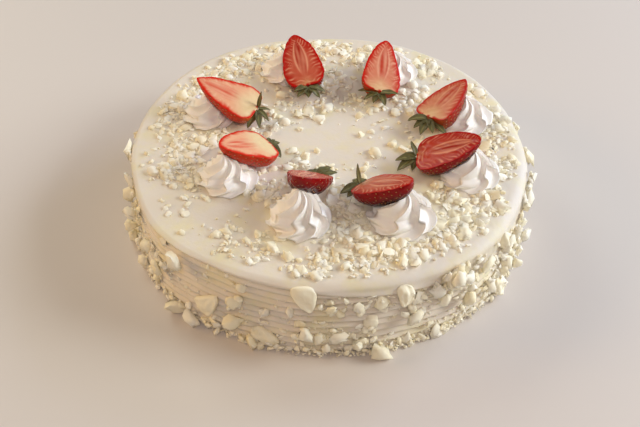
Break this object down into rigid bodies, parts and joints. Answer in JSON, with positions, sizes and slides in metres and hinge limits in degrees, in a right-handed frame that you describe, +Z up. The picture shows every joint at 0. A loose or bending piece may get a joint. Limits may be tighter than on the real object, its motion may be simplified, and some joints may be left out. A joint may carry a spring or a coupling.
{
  "type": "strawberry cake",
  "caption": "Round cream-frosted cake with a combed side, piped rosettes that carry strawberry halves, and white chocolate crumbs.",
  "frame": {"origin": "middle of the cake's flat underside", "axes": "+Z up through the middle of the cake, -Y towards its front, +X to the right seen from the front"},
  "size_m": [0.244, 0.2497, 0.0868],
  "materials": {
    "whipped_cream": "soft whipped cream, smooth on top and combed on the side",
    "strawberry": "moist cut strawberry, glossy red skin with seeds",
    "leaf": "dull green leaves",
    "white_chocolate": "matt shaved white chocolate"
  },
  "bodies": {
    "root": {"cake": "whipped_cream", "rosette_1": "whipped_cream", "rosette_2": "whipped_cream", "rosette_3": "whipped_cream", "rosette_4": "whipped_cream", "rosette_5": "whipped_cream", "rosette_6": "whipped_cream", "rosette_7": "whipped_cream", "rosette_8": "whipped_cream", "strawberry_1": "strawberry", "strawberry_2": "strawberry", "strawberry_3": "strawberry", "strawberry_4": "strawberry", "strawberry_5": "strawberry", "strawberry_6": "strawberry", "strawberry_7": "strawberry", "strawberry_8": "strawberry", "calyx_1": "leaf", "calyx_2": "leaf", "calyx_3": "leaf", "calyx_4": "leaf", "calyx_5": "leaf", "calyx_6": "leaf", "calyx_7": "leaf", "calyx_8": "leaf", "chocolate_flake_1": "white_chocolate", "chocolate_flake_2": "white_chocolate", "chocolate_flake_3": "white_chocolate", "chocolate_flake_4": "white_chocolate", "chocolate_flake_5": "white_chocolate", "chocolate_flake_6": "white_chocolate", "chocolate_flake_7": "white_chocolate", "chocolate_flake_8": "white_chocolate", "chocolate_flake_9": "white_chocolate", "chocolate_flake_10": "white_chocolate"}
  },
  "joints": []
}
